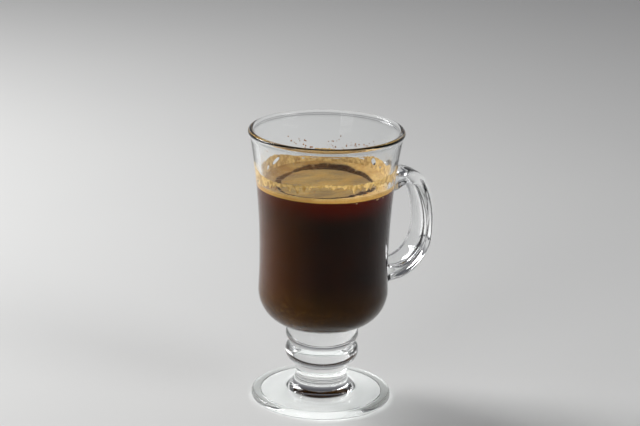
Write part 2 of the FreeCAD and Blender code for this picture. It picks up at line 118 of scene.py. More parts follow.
# ---------------------------------------------------------------- shader expressions
class Wire:
    """A socket whose arithmetic adds the maths nodes that carry it out."""

    def __init__(self, tree, socket):
        self.tree, self.socket = tree, socket

    def maths(self, operation, first, second):
        return self.tree.node("ShaderNodeMath", {"operation": operation}, first, second)

    def __add__(self, other):
        return self.maths("ADD", self, other)

    def __radd__(self, other):
        return self.maths("ADD", other, self)

    def __sub__(self, other):
        return self.maths("SUBTRACT", self, other)

    def __rsub__(self, other):
        return self.maths("SUBTRACT", other, self)

    def __mul__(self, other):
        return self.maths("MULTIPLY", self, other)

    def __rmul__(self, other):
        return self.maths("MULTIPLY", other, self)


class Shade:
    """The node tree of a material or of the world, filled in one node at a time."""

    def __init__(self, owner):
        owner.use_nodes = True
        self.owner = owner
        self.nodes = owner.node_tree.nodes
        self.links = owner.node_tree.links
        self.nodes.clear()

    def node(self, kind, settings, *inputs, output=0, **named):
        made = self.nodes.new(kind)
        for key, value in settings.items():
            if key == "stops":
                self.set_stops(made.color_ramp, value)
            else:
                setattr(made, key, value)
        for index, value in enumerate(inputs):
            if value is not None:
                self.feed(made.inputs[index], value)
        for key, value in named.items():
            self.feed(made.inputs[key.replace("_", " ")], value)
        return Wire(self, made.outputs[output])

    def feed(self, socket, value):
        if isinstance(value, Wire):
            self.links.new(value.socket, socket)
        else:
            socket.default_value = value

    def set_stops(self, ramp, stops):
        while len(ramp.elements) < len(stops):
            ramp.elements.new(1.0)
        for element, (place, colour) in zip(ramp.elements, stops):
            element.position = place
            element.color = colour

    def coordinates(self, output="Object"):
        return self.node("ShaderNodeTexCoord", {}, output=output)

    def attribute(self, name):
        return self.node("ShaderNodeAttribute", {"attribute_name": name}, output=2)

    def part(self, vector, axis):
        return self.node("ShaderNodeSeparateXYZ", {}, vector, output="XYZ".index(axis))

    def stretch(self, vector, scale):
        """The coordinates scaled along each axis, so that a pattern is drawn out or packed along it."""
        return self.node("ShaderNodeVectorMath", {"operation": "MULTIPLY"}, vector, scale)

    def from_axis(self, place):
        """Distance from the glass's axis, in metres."""
        flat = self.stretch(place, (1, 1, 0))
        return self.node("ShaderNodeVectorMath", {"operation": "LENGTH"}, flat, output=1)

    def towards(self, place, angle):
        """How far a place lies from the axis towards an angle of the front view, in metres."""
        way = around(angle, 1.0, 0.0)
        return self.node("ShaderNodeVectorMath", {"operation": "DOT_PRODUCT"}, place, way, output=1)

    def clouds(self, vector, scale, detail=3.0, roughness=0.55):
        """Soft random patches, scale of them to the metre."""
        return self.node("ShaderNodeTexNoise", {}, Vector=vector, Scale=scale, Detail=detail,
                         Roughness=roughness)

    def cells(self, vector, scale, feature="F1"):
        """Round cells, scale of them to the metre, dark in their middles."""
        return self.node("ShaderNodeTexVoronoi", {"feature": feature}, Vector=vector, Scale=scale)

    def fade(self, value, low, high, start=0.0, end=1.0):
        """The value carried from low..high to start..end and held there."""
        return self.node("ShaderNodeMapRange", {"interpolation_type": "SMOOTHSTEP"},
                         value, low, high, start, end)

    def blend(self, factor, first, second):
        """Two colours mixed; the five sockets before theirs are for numbers and vectors."""
        return self.node("ShaderNodeMix", {"data_type": "RGBA"}, factor, *[None] * 5, first, second, output=2)

    def relief(self, height, depth, **before):
        """Bumps of a pattern, on top of the bumps that come before as Normal."""
        return self.node("ShaderNodeBump", {}, Height=height, Distance=depth, **before)

    def surface(self, shader, kind="ShaderNodeOutputMaterial"):
        out = self.nodes.new(kind)
        self.links.new(shader.socket, out.inputs["Surface"])
        return self.owner

    def finish(self, **looks):
        """The material, where one surface shader is all that it needs."""
        return self.surface(self.node("ShaderNodeBsdfPrincipled", {}, **looks))


def shade(name):
    return Shade(bpy.data.materials.new(name))


def tone(red, green, blue):
    """A colour given on the 0-255 scale of a printed colour chart, as light."""
    def light(value):
        value /= 255
        return value / 12.92 if value <= 0.04045 else ((value + 0.055) / 1.055) ** 2.4
    return (light(red), light(green), light(blue), 1)


# ---------------------------------------------------------------- colours
COFFEE_BLACK, COFFEE_BROWN = tone(18, 7, 3), tone(32, 12, 4)
# Painted light on the coffee: a red glow under the foam, and amber on its lit left side.
PAINTED_RED_GLOW, LIT_SIDE_AMBER = tone(68, 12, 3), tone(84, 45, 12)
# Grounds low in the coffee, with painted light where the left is lit.
GROUNDS_AND_LIGHT_BROWN, GROUNDS_AND_LIGHT_GOLD = tone(62, 37, 10), tone(128, 88, 32)
FOAM_TONES = (             # from bare coffee to the ridge
    (0.0, tone(46, 24, 13)), (0.14, tone(76, 50, 30)), (0.32, tone(128, 104, 70)),
    (0.50, tone(154, 127, 80)), (0.74, tone(190, 152, 86)), (1.0, tone(216, 184, 120)))
FOAM_WARM, FOAM_BROWN, FOAM_SWIRL = tone(178, 134, 62), tone(142, 96, 48), tone(162, 116, 62)
# The pit colour is painted shade for the foam's small hollows.
FOAM_EDGE_GOLD, FOAM_PIT_SHADE = tone(206, 156, 70), tone(120, 88, 52)
BUBBLE_DARK, BUBBLE_LIGHT = tone(150, 116, 72), tone(222, 198, 152)
DRIED_DARK, DRIED_LIGHT = tone(186, 146, 78), tone(232, 200, 132)
GROUNDS_DARK, GROUNDS_LIGHT = tone(120, 74, 22), tone(176, 116, 40)
FLOOR_GREY, FLOOR_PALE = tone(206, 206, 205), tone(212, 212, 210)
SKY = (                    # the studio's light, from the level up
    (0.0, (0.60, 0.60, 0.60, 1)), (0.10, (0.62, 0.62, 0.62, 1)),
    (0.26, (0.26, 0.26, 0.27, 1)), (0.6, (0.09, 0.09, 0.10, 1)))


# ---------------------------------------------------------------- finishes
def clear_pressed_glass():
    """Clear to the eye, and lamps shine through it with a little loss."""
    mix = shade("clear_pressed_glass")
    glass = mix.node("ShaderNodeBsdfPrincipled", {}, Base_Color=(0.955, 0.965, 0.965, 1), Roughness=0.0,
                     IOR=1.5, Transmission_Weight=1.0, Specular_Tint=(0.22, 0.22, 0.22, 1))
    passing = mix.node("ShaderNodeBsdfTransparent", {}, (0.88, 0.89, 0.89, 1))
    to_lamps = mix.node("ShaderNodeLightPath", {}, output=1)
    return mix.surface(mix.node("ShaderNodeMixShader", {}, to_lamps, glass, passing))


def with_grounds_and_painted_light(mix, place, body):
    """Golden grounds lying low down in drifts of fine grains, with painted light making them strongest on the
    lit left.
    """
    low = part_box("coffee")[0].z
    grounds_and_light = mix.fade(mix.part(place, "Z"), low + 0.028, low + 0.003)
    # Painted light: the grounds are painted stronger towards the lit left.
    grounds_and_light = grounds_and_light * mix.fade(mix.towards(place, 190), -0.004, 0.026, 0.35, 1.0)
    body = mix.blend(grounds_and_light * 0.75, body, GROUNDS_AND_LIGHT_BROWN)
    drifts = mix.fade(mix.clouds(mix.stretch(place, (1, 1, 1.6)), 70.0, 4.0), 0.30, 0.60, 0.5, 1.0)
    speckle = mix.fade(mix.clouds(place, 780.0, 2.0), 0.50, 0.64, 0.25, 1.0)
    return mix.blend(grounds_and_light * drifts * speckle * 0.6, body, GROUNDS_AND_LIGHT_GOLD)


def dark_coffee():
    """Nearly black; painted light gives a red glow under the foam and a warmer left side, and golden grounds
    lie low down, painted strongest on the lit left.
    """
    mix = shade("dark_coffee")
    place = mix.coordinates()
    level = mix.part(place, "Z")
    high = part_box("coffee")[1].z
    broad = mix.clouds(place, 26.0)
    body = mix.blend(mix.fade(broad, 0.35, 0.65), COFFEE_BLACK, COFFEE_BROWN)
    # Painted light: a red glow of light through the coffee just under the foam.
    glow = mix.fade(level, high - 0.013, high) * mix.fade(mix.clouds(place, 60.0, 1.0), 0.2, 0.7, 0.75, 1.0)
    body = mix.blend(glow, body, PAINTED_RED_GLOW)
    # Painted light: warmer amber towards the left side, where the key lamp falls.
    warm = mix.fade(mix.towards(place, 190), 0.006, 0.034) * mix.fade(level, high, high - 0.02, 0.6, 1.0)
    body = mix.blend(warm * (0.6 + 0.4 * broad), body, LIT_SIDE_AMBER)
    body = with_grounds_and_painted_light(mix, place, body)
    return mix.finish(Base_Color=body, Roughness=0.5, Specular_IOR_Level=0.0)


def with_blotches(mix, place, cover, colour):
    """Warm blotches, a browner left side, and brown swirls in the ridge."""
    warm = mix.fade(mix.clouds(place, 110.0, 2.0), 0.45, 0.62) * mix.fade(cover, 0.3, 0.55)
    colour = mix.blend(warm * 0.4, colour, FOAM_WARM)
    brown = mix.fade(mix.towards(place, 150), 0.010, 0.034)
    brown = brown * mix.fade(mix.clouds(place, 130.0), 0.3, 0.6, 0.3, 1.0)
    colour = mix.blend(brown * 0.5, colour, FOAM_BROWN)
    swirls = mix.fade(mix.clouds(place, 75.0, 3.0), 0.50, 0.60) * mix.fade(cover, 0.62, 0.82)
    return mix.blend(swirls * 0.32, colour, FOAM_SWIRL)


def with_golden_edge(mix, place, colour):
    """Gold on the band of foam that lies against the glass, below its top."""
    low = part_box("foam")[0].z
    band = mix.fade(mix.part(place, "Z"), low + 0.0020, low + 0.0002)
    band = band * mix.fade(mix.from_axis(place), (foam_edge - 1.6) * MM, (foam_edge - 0.4) * MM)
    return mix.blend(band * 0.75, colour, FOAM_EDGE_GOLD)


def creamy_foam():
    """Cream on the ridge, golden below, thinning through tan to bare dark coffee."""
    mix = shade("creamy_foam")
    place = mix.coordinates()
    cover = mix.attribute("cover")
    mottle = mix.clouds(place, 260.0, 4.0)
    streaks = mix.clouds(mix.stretch(place, (1, 1, 0.3)), 90.0, 5.0, 0.6)
    amount = cover + (streaks - 0.5) * 0.30 + (mottle - 0.5) * 0.18
    colour = mix.node("ShaderNodeValToRGB", {"stops": FOAM_TONES}, amount)
    colour = with_blotches(mix, place, cover, colour)
    colour = with_golden_edge(mix, place, colour)
    # Painted shade: darker spots in the foam's small hollows.
    pit_shade = mix.fade(mix.cells(place, 1500.0), 0.05, 0.35)
    colour = mix.blend((1 - pit_shade) * 0.35, colour, FOAM_PIT_SHADE)
    bubbles = mix.cells(place, 1100.0, "SMOOTH_F1")
    froth = mix.relief(bubbles, 0.0003, Normal=mix.relief(mottle, 0.0004))
    wet = mix.fade(cover, 0.15, 0.45, 0.25, 0.5)
    return mix.finish(Base_Color=colour, Roughness=wet, Normal=froth, Specular_IOR_Level=0.1)


def bubble_skin():
    """Wet, shiny bubbles, paler and darker from one to the next."""
    mix = shade("bubble_skin")
    colour = mix.blend(mix.clouds(mix.coordinates(), 700.0), BUBBLE_DARK, BUBBLE_LIGHT)
    return mix.finish(Base_Color=colour, Roughness=0.12, Specular_IOR_Level=0.6)


def dried_foam():
    """Foam that dried on the inside of the glass: streaky, half clear where it is thin."""
    mix = shade("dried_foam")
    place = mix.coordinates()
    runs = mix.clouds(mix.stretch(place, (1, 1, 0.8)), 480.0, 3.0)
    grain = mix.cells(place, 1600.0)
    colour = mix.blend(mix.fade(runs, 0.3, 0.7), DRIED_DARK, DRIED_LIGHT)
    solid = mix.fade(mix.attribute("film"), 0.02, 0.55) * mix.fade(runs, 0.18, 0.62, 0.8, 1.0)
    solid = solid * mix.fade(grain, 0.05, 0.5, 1.0, 0.9)
    return mix.finish(Base_Color=colour, Roughness=0.5, Specular_IOR_Level=0.1, Alpha=solid,
                      Normal=mix.relief(grain, 0.0002))


def coffee_grounds():
    mix = shade("coffee_grounds")
    colour = mix.blend(mix.clouds(mix.coordinates(), 900.0), GROUNDS_DARK, GROUNDS_LIGHT)
    return mix.finish(Base_Color=colour, Roughness=0.6)


def pale_floor():
    mix = shade("pale_floor")
    colour = mix.blend(mix.clouds(mix.coordinates(), 3.0), FLOOR_GREY, FLOOR_PALE)
    return mix.finish(Base_Color=colour, Roughness=0.6)


# ---------------------------------------------------------------- outlines
def crossing(circle, other, side):
    """The direction, seen from one circle's centre, of one of its crossings with another."""
    (centre, radius), (other_centre, other_radius) = circle, other
    across, up = other_centre[0] - centre[0], other_centre[1] - centre[1]
    gap = math.hypot(across, up)
    opening = math.acos((radius**2 + gap**2 - other_radius**2) / (2 * radius * gap))
    return math.atan2(up, across) + side * opening


def soft_join(first, second, reach):
    """Two runs of an outline that meet in a small rounded hollow."""
    corner = first[-1]
    first = [p for p in first if math.dist(p, corner) > reach]
    second = [p for p in second if math.dist(p, corner) > reach]
    start, end = first[-1], second[0]
    bend = []
    for k in range(1, 8):
        t = k / 8
        weights = ((1 - t) ** 2, 2 * t * (1 - t), t**2)
        bend.append(tuple(sum(w * p[i] for w, p in zip(weights, (start, corner, end))) for i in (0, 1)))
    return first + bend + second


def bead_centre():
    return RIM_RADIUS - BEAD, height - BEAD


def under_bead():
    """Where the bowl's outside meets the rounded rim."""
    centre, out = bead_centre(), BEAD - BEAD_STEP
    return centre[0] + out, centre[1] - math.sqrt(BEAD**2 - out**2)


def outside_curve():
    """Centre and radius of the hollow curve of the bowl's outside."""
    top = under_bead()
    spread, rise = top[0] - WAIST, top[1] - WAIST_LEVEL
    flare = (spread**2 + rise**2) / (2 * spread)
    return (WAIST + flare, WAIST_LEVEL), flare


def inside_curve():
    """Centre and radius of the hollow curve of the bowl's inside."""
    bead, nearest = bead_centre(), WAIST - WALL
    rise, spread = bead[1] - WAIST_LEVEL, bead[0] - nearest
    flare = (spread**2 + rise**2 - BEAD**2) / (2 * (spread - BEAD))
    return (nearest + flare, WAIST_LEVEL), flare


def corner_under(curve, level, rounding):
    """Centre and radius of the bowl's lower corner, which runs smoothly into the curve above it."""
    centre, flare = curve
    reach = centre[0] - math.sqrt((flare + rounding) ** 2 - (centre[1] - level) ** 2)
    return (reach, level), rounding


def outside_corner():
    return corner_under(outside_curve(), BOWL_BOTTOM + BOWL_ROUND, BOWL_ROUND)


def inside_corner():
    return corner_under(inside_curve(), BOWL_BOTTOM + FLOOR_GLASS + FLOOR_ROUND, FLOOR_ROUND)


def corner_tilt(curve, corner):
    """The slope of the bowl where its corner runs into the curve above."""
    return math.asin((curve[0][1] - corner[0][1]) / (curve[1] + corner[1]))


def bowl_radius(level, curve, corner):
    """Distance from the axis to the bowl's outside or inside at a height."""
    (centre, flare), (low, rounding) = curve, corner
    if level >= low[1] + rounding * math.sin(corner_tilt(curve, corner)):
        return centre[0] - math.sqrt(flare**2 - (level - centre[1]) ** 2)
    return low[0] + math.sqrt(max(rounding**2 - (level - low[1]) ** 2, 0.0))


def outside_radius(level):
    return bowl_radius(level, outside_curve(), outside_corner())


def inside_radius(level):
    return bowl_radius(level, inside_curve(), inside_corner())


def foot_outline():
    """From the middle of the hollow under the foot, round the foot's edge and up its slope to the neck."""
    drop = HOLLOW_DEPTH - HOLLOW_STEP
    dome = (HOLLOW**2 + drop**2) / (2 * drop)
    under = arc((0, HOLLOW_DEPTH - dome), dome, QUARTER, QUARTER - math.asin(HOLLOW / dome), 24)
    edge_at = (FOOT - FOOT_EDGE, FOOT_EDGE)
    rest = [(HOLLOW, 0.5), (HOLLOW + 0.15, 0.2), (HOLLOW + 0.5, 0.0), (edge_at[0] - 1.0, 0.0)]
    lip = arc(edge_at, FOOT_EDGE, -QUARTER, QUARTER - FOOT_SLOPE, 18)
    flare_x = NECK + NECK_FLARE
    touch_x = flare_x - NECK_FLARE * math.sin(FOOT_SLOPE)
    touch_z = lip[-1][1] + (lip[-1][0] - touch_x) * math.tan(FOOT_SLOPE)
    flare_at = (flare_x, touch_z + NECK_FLARE * math.cos(FOOT_SLOPE))
    flare = arc(flare_at, NECK_FLARE, 1.5 * math.pi - FOOT_SLOPE, math.pi, 14)
    return under + rest + lip + straight(lip[-1], (touch_x, touch_z), 8) + flare


def bowl_side():
    """The bowl's hollow outside, from its lower corner up to the bead."""
    centre, flare = outside_curve()
    joint = under_bead()
    start = math.pi + corner_tilt((centre, flare), outside_corner())
    end = math.pi - math.atan2(joint[1] - centre[1], centre[0] - joint[0])
    return arc(centre, flare, start, end, 40)[1:]


def bead_outline():
    """The outside of the rounded rim, up to its top."""
    joint, bead = under_bead(), bead_centre()
    return arc(bead, BEAD, math.atan2(joint[1] - bead[1], joint[0] - bead[0]), QUARTER, 16)


def outside_outline():
    """From the middle of the hollow under the foot, out and up to the top of the rim."""
    knop = (KNOP - KNOP_ROUND, KNOP_LEVEL), KNOP_ROUND
    ring = (RING - RING_ROUND, RING_LEVEL), RING_ROUND
    bowl = outside_corner()
    neck_turn = -math.acos((NECK - knop[0][0]) / KNOP_ROUND)
    over_knop = arc(*knop, neck_turn, crossing(knop, ring, -1), 26)
    over_ring = arc(*ring, crossing(ring, knop, 1), crossing(ring, bowl, -1), 24)
    bowl_turn = arc(*bowl, crossing(bowl, ring, 1), corner_tilt(outside_curve(), bowl), 28)
    neck = [(NECK, over_knop[0][1] - 0.05), over_knop[0]]
    outline = soft_join(foot_outline() + neck, over_knop, KNOP_JOIN)
    outline = soft_join(outline, over_ring, RING_JOIN)
    outline = soft_join(outline, bowl_turn, RING_JOIN)
    return soft_join(outline + bowl_side(), bead_outline(), BEAD_JOIN)


def inside_outline():
    """From the top of the rim down the inside of the bowl to the middle of its floor."""
    curve, corner, bead = inside_curve(), inside_corner(), bead_centre()
    centre = curve[0]
    high = math.atan2(bead[1] - centre[1], centre[0] - bead[0])
    low = corner_tilt(curve, corner)
    lip = arc(bead, BEAD, QUARTER, math.pi - high, 14)[1:]
    side = arc(*curve, math.pi - high, math.pi + low, 44)[1:]
    bend = arc(*corner, low, -QUARTER, 26)[1:]
    (reach, level), rounding = corner
    base = [(reach * k / 8, level - rounding) for k in range(7, -1, -1)]
    return lip + side + bend + base


# ---------------------------------------------------------------- meshes
def piece(name, verts, faces, finish):
    """A new object from points in millimetres."""
    mesh = bpy.data.meshes.new(name)
    mesh.from_pydata([tuple(c * MM for c in v) for v in verts], [], faces)
    mesh.validate()
    mesh.materials.append(finish)
    mesh.shade_smooth()
    made = bpy.data.objects.new(name, mesh)
    bpy.context.scene.collection.objects.link(made)
    return made


def add_row(verts, points):
    """Adds a ring of points, or one point that stands for a whole ring, and gives their numbers."""
    first = len(verts)
    verts.extend(points)
    return list(range(first, len(verts))) if len(points) > 1 else [first] * TURNS


def skin(rows, inside_out=False):
    """Faces between one ring of point numbers and the next."""
    faces = []
    for low, high in zip(rows, rows[1:]):
        for k in range(len(low)):
            n = (k + 1) % len(low)
            corners = (low[k], high[k], high[n], low[n]) if inside_out else (low[k], low[n], high[n], high[k])
            faces.append(tuple(dict.fromkeys(corners)))
    return faces


def turned(outline):
    """Points and faces of an outline, from axis to axis, turned about the upright axis."""
    verts, rows = [], []
    for radius, level in outline:
        ways = [(0.0, 0.0)] if radius < 1e-6 else compass(TURNS)
        rows.append(add_row(verts, [(radius * x, radius * y, level) for x, y in ways]))
    return verts, skin(rows)


def face_outwards(made):
    work = bmesh.new()
    work.from_mesh(made.data)
    bmesh.ops.recalc_face_normals(work, faces=work.faces)
    work.to_mesh(made.data)
    work.free()


def mark(made, name, amounts):
    """Stores an amount at each point, for a finish or a scatter to read."""
    made.data.attributes.new(name, "FLOAT", "POINT").data.foreach_set("value", amounts)


def settle(made):
    """Turns what a piece's modifier makes into its own plain mesh."""
    evaluated = made.evaluated_get(bpy.context.evaluated_depsgraph_get())
    mesh = bpy.data.meshes.new_from_object(evaluated)
    made.modifiers.clear()
    made.data = mesh


# ---------------------------------------------------------------- the handle
def bend_centre(level, rounding):
    """Centre of an end bend, which runs smoothly into the handle's bow."""
    out = math.sqrt((HANDLE_BOW - rounding) ** 2 - (level - HANDLE_MIDDLE) ** 2)
    return HANDLE_REACH - HANDLE_BOW + out, level


def handle_path():
    """Points along the bar's middle from the upper bend to the lower root, and where its outside faces."""
    bow_at = (HANDLE_REACH - HANDLE_BOW, HANDLE_MIDDLE)
    top_at, low_at = bend_centre(ARM_TOP - BEND_TOP, BEND_TOP), bend_centre(ARM_LOW + BEND_LOW, BEND_LOW)
    high, deep = (math.atan2(at[1] - bow_at[1], at[0] - bow_at[0]) for at in (top_at, low_at))
    last = -math.acos((ROOT_START - low_at[0]) / BEND_LOW)
    path = []
    for centre, radius, start, end, steps in (
            (top_at, BEND_TOP, QUARTER, high, 26), (bow_at, HANDLE_BOW, high, deep, 44),
            (low_at, BEND_LOW, deep, last, 44)):
        facing = [start + (end - start) * k / steps for k in range(steps)]
        path += [(*on_circle(centre, radius, a), a) for a in facing]
    return path + [(*on_circle(low_at, BEND_LOW, last), last)]


def upper_arm(end):
    """The straight upper arm, deeper and wider towards the bowl."""
    rows = []
    for k in range(12):
        t = k / 12
        x = ROOT_START + (end - ROOT_START) * t
        under = ARM_TOP - GRIP_THICK - ARM_SAG * (1 - t) ** 1.8
        rows.append((x, ARM_TOP + GRIP_THICK, x, under, ARM_WIDE + ARM_SPREAD * (1 - t) ** 2))
    return rows


def handle_rows():
    """Outer edge, inner edge and half width of the handle, from the upper arm round to the lower."""
    path = handle_path()
    last = len(path) - 1
    rows = upper_arm(bend_centre(ARM_TOP - BEND_TOP, BEND_TOP)[0])
    for count, (x, z, facing) in enumerate(path):
        thick = GRIP_THICK + GRIP_THICKENS * eased((count - THICKENS_FROM) / (last - THICKENS_FROM))
        wide = GRIP_WIDE + GRIP_WIDENS * eased((count - WIDENS_FROM) / (last - WIDENS_FROM))
        out_x, out_z = math.cos(facing) * thick, math.sin(facing) * thick
        rows.append((x + out_x, z + out_z, x - out_x, z - out_z, wide))
    return rows


def bar_section(half_wide, half_thick):
    """A rounded rectangle."""
    flat_y, flat_r = half_wide - GRIP_ROUND, half_thick - GRIP_ROUND
    corners = [arc((y * flat_y, r * flat_r), GRIP_ROUND, turn * QUARTER, (turn + 1) * QUARTER, 8)
               for turn, (y, r) in enumerate(((1, 1), (-1, 1), (-1, -1), (1, -1)))]
    section = []
    for corner, following, steps in zip(corners, corners[1:] + corners[:1], (6, 3, 6, 3)):
        section += corner + straight(corner[-1], following[0], steps)
    return section


def bar_ring(row):
    """The bar's rounded section at one row of the handle, with softly crowned faces."""
    out_x, out_z, in_x, in_z, half = row
    thick = math.hypot(out_x - in_x, out_z - in_z) / 2
    across_x, across_z = (out_x - in_x) / (2 * thick), (out_z - in_z) / (2 * thick)
    middle_x, middle_z = (out_x + in_x) / 2, (out_z + in_z) / 2
    ring = []
    for y, r in bar_section(half, thick):
        r += math.copysign(GRIP_CROWN, r) * (1 - (y / half) ** 2) * abs(r) / thick
        ring.append((middle_x + across_x * r, y, middle_z + across_z * r))
    return ring


def root_rings(ring, spread_y, spread_up, spread_down, slope):
    """Rings that carry an end of the bar on to the bowl in a flaring curve, and into its wall."""
    middle = sum(p[2] for p in ring) / len(ring)
    reach_z = max(p[2] for p in ring) - middle
    reach_y = max(p[1] for p in ring)
    rings = []
    for k in range(1, ROOT_STEPS + 1):
        turn = ROOT_TURN * k / ROOT_STEPS
        grow, near = 1 - math.cos(turn), math.sin(turn) / math.sin(ROOT_TURN)
        row = []
        for x, y, z in ring:
            lift = (z - middle) / reach_z
            new_y = y + spread_y * grow * y / reach_y
            new_z = z + (spread_up if lift > 0 else spread_down) * grow * lift
            bowl_x = math.sqrt(outside_radius(new_z) ** 2 - new_y**2)
            new_x = x + (bowl_x - x) * near
            row.append((new_x, new_y, new_z - (x - new_x) * slope))
        rings.append(row)
    rings.append([(x - ROOT_DEPTH, y, z) for x, y, z in rings[-1]])
    return rings


def handle_bar():
    """Points and faces of the whole bar, closed at both roots by a fan round one point."""
    rings = [bar_ring(row) for row in handle_rows()]
    top = root_rings(rings[0], spread_y=2.6, spread_up=0.9, spread_down=4.0, slope=0.0)
    low = root_rings(rings[-1], spread_y=2.4, spread_up=1.8, spread_down=1.2, slope=0.05)
    rings = top[::-1] + rings + low
    verts = []
    rows = [add_row(verts, ring) for ring in rings]
    hubs = []
    for ring in (rings[0], rings[-1]):
        level = sum(p[2] for p in ring) / len(ring)
        hubs.append([len(verts)] * len(ring))
        verts.append((outside_radius(level) - ROOT_DEPTH, 0.0, level))
    return verts, skin([hubs[0]] + rows + [hubs[1]])


def join_solid(base, tool):
    """Adds one closed solid to another, so that no face is left inside the glass."""
    union = base.modifiers.new("union", "BOOLEAN")
    union.operation = "UNION"
    union.object = tool
    union.solver = "MANIFOLD"
    settle(base)
    bpy.data.objects.remove(tool)


def make_glass():
    finish = clear_pressed_glass()
    glass = piece("footed_glass", *turned(outside_outline() + inside_outline()), finish)
    face_outwards(glass)
    handle = piece("handle", *handle_bar(), finish)
    face_outwards(handle)
    join_solid(glass, handle)
    glass.data.shade_smooth()
    glass.data.set_sharp_from_angle(angle=SHARP)
    return glass


# ---------------------------------------------------------------- the drink
def make_coffee():
    """Everything in the bowl up to the underside of the foam, biting a little into the wall."""
    side = [p for p in inside_outline() if p[1] < drink_top - 0.3 and p[0] > 0.01][::-1]
    wall = []
    for (x, z), (px, pz), (nx, nz) in zip(side[1:-1], side, side[2:]):
        run = math.hypot(nx - px, nz - pz)
        wall.append((x + BITE * (nz - pz) / run, z - BITE * (nx - px) / run))
    edge = inside_radius(drink_top)
    top = [(edge + BITE, drink_top), (edge - 1.0, drink_top), (0.0, drink_top)]
    coffee = piece("coffee_drink", *turned([(0.0, side[0][1] - BITE)] + wall + top), dark_coffee())
    face_outwards(coffee)
    coffee.data.set_sharp_from_angle(angle=SHARP)
    return coffee


# Bare ring in the foam: angle in the front view, radius, half width, how bare.
BARE_RING = (
    (0, 24.6, 0.8, 0.50), (22, 24.0, 1.3, 0.90), (50, 24.9, 2.3, 1.0), (75, 26.3, 3.3, 1.0),
    (90, 26.5, 3.5, 1.0), (105, 26.2, 3.3, 1.0), (120, 25.2, 2.0, 0.9), (140, 23.9, 1.2, 0.85),
    (165, 23.8, 1.9, 0.8), (185, 24.0, 1.5, 0.85), (208, 25.6, 0.7, 0.8), (230, 26.6, 0.7, 0.9),
    (250, 26.4, 0.7, 1.0), (270, 25.4, 0.75, 1.0), (293, 24.9, 0.8, 1.0), (307, 24.3, 1.6, 0.95),
    (322, 24.1, 1.9, 0.9), (336, 24.6, 1.4, 0.85), (350, 24.7, 0.7, 0.45),
)


def ripple(x, y, layer, fineness):
    """A smooth random value between about -1 and 1; each layer has a pattern of its own."""
    return noise.noise(Vector((x, y, layer)) * fineness)


def drawn_out(along, across, fine_along, fine_across, layer):
    """A place in a random pattern that is stretched along one direction."""
    return Vector((along * fine_along, across * fine_across, layer))


def foam_film(x, y):
    """The thin film inside the bare ring, thickest in a patch near the middle."""
    film = 0.46 + 0.17 * noise.fractal(drawn_out(x, y, 0.06, 0.14, 2.0), 0.6, 2.1, 5)
    patch = eased(1 - math.hypot((x - 2) / 16, (y + 3) / 9))
    return film + (0.16 * patch + 0.08 * ripple(x, y, 7.0, 0.9))


def foam_ridge(radius, angle):
    """The thick ring by the wall, thickest at the far right of the front view."""
    grain = noise.fractal(drawn_out(radius, angle * 0.5, 0.5, 0.35, 6.0), 0.6, 2.1, 4)
    return 0.84 + 0.10 * math.cos(math.radians(angle - 40)) + 0.16 * grain


def foam_cover(x, y):
    """How much foam lies at a place: none over bare coffee, one on the ridge at the wall."""
    radius = math.hypot(x, y)
    angle = math.degrees(math.atan2(y, x)) - FACING
    wander = ripple(x, y, 3.0, 0.11) * 0.9 + ripple(x, y, 9.0, 0.5) * 0.45
    ring, half, bare = between(BARE_RING, angle)
    off = radius + wander - ring
    ragged = 0.35 + ripple(x, y, 5.0, 1.1) * 0.25
    turn = math.radians(angle)
    veins = eased(ripple(math.cos(turn), math.sin(turn), 0, 16) * 2.4)
    open_ring = bare * (1 - eased((abs(off) / half - 0.75) / (0.35 + ragged))) * (1 - 0.34 * veins)
    film = foam_film(x, y)
    cover = film + (foam_ridge(radius, angle) - film) * eased(off / 2.4)
    return max(0.0, min(1.0, cover * (1 - open_ring)))


def foam_level(x, y, cover):
    """Height of the foam's top: it climbs to the wall, sinks where it is bare and is a little lumpy."""
    climb = eased((math.hypot(x, y) - RIDGE_START) / (2 * (foam_edge - RIDGE_START))) * 2
    level = foam_middle + (foam_top - foam_middle) * climb
    level -= BARE_SINKS * (1 - cover) ** 2
    lumps = noise.fractal(Vector((x, y, 1.0)) * 0.4, 0.8, 2.0, 3)
    return level + LUMP_HEIGHT * cover * lumps


def foam_top_rings():
    """Rings of (x, y, level, cover) over the foam's top, from the middle to the wall."""
    rings = []
    for k in range(FOAM_RINGS + 1):
        radius = foam_edge * (k / FOAM_RINGS) ** FOAM_CROWDING
        ring = []
        for way_x, way_y in compass(TURNS) if k else [(0.0, 0.0)]:
            x, y = radius * way_x, radius * way_y
            cover = foam_cover(x, y)
            ring.append((x, y, foam_level(x, y, cover), cover))
        rings.append(ring)
    return rings


def foam_edge_rings(top_ring):
    """Rings down the wall, from the edge of the foam's top to its wavering lower edge."""
    rings = []
    for step in range(1, FOAM_EDGE_ROWS + 1):
        ring = []
        for (x, y), (_, _, edge, _) in zip(compass(TURNS), top_ring):
            low = drink_top + (0.16 * ripple(x * 5, y * 5, 0.0, 1) + 0.12 * ripple(x * 17, y * 17, 4.0, 1))
            level = edge + (low - edge) * step / FOAM_EDGE_ROWS
            reach = inside_radius(level) + FOAM_BITE
            ring.append((x * reach, y * reach, level, 0.95 - 0.35 * step / FOAM_EDGE_ROWS))
        rings.append(ring)
    return rings


def make_foam():
    """One solid layer from wall to wall, with its ridge, its bare ring and its thin middle."""
    rings = foam_top_rings()
    rings += foam_edge_rings(rings[-1])
    rings.append([(UNDER_FOAM * x, UNDER_FOAM * y, coffee_level - 0.04, 0.5) for x, y in compass(TURNS)])
    rings.append([(0, 0, coffee_level - 0.05, 0.5)])
    verts = []
    rows = [add_row(verts, [point[:3] for point in ring]) for ring in rings]
    foam = piece("coffee_foam", verts, skin(rows), creamy_foam())
    mark(foam, "cover", [point[3] for ring in rings for point in ring])
    face_outwards(foam)
    foam.data.set_sharp_from_angle(angle=SHARP)
    return foam


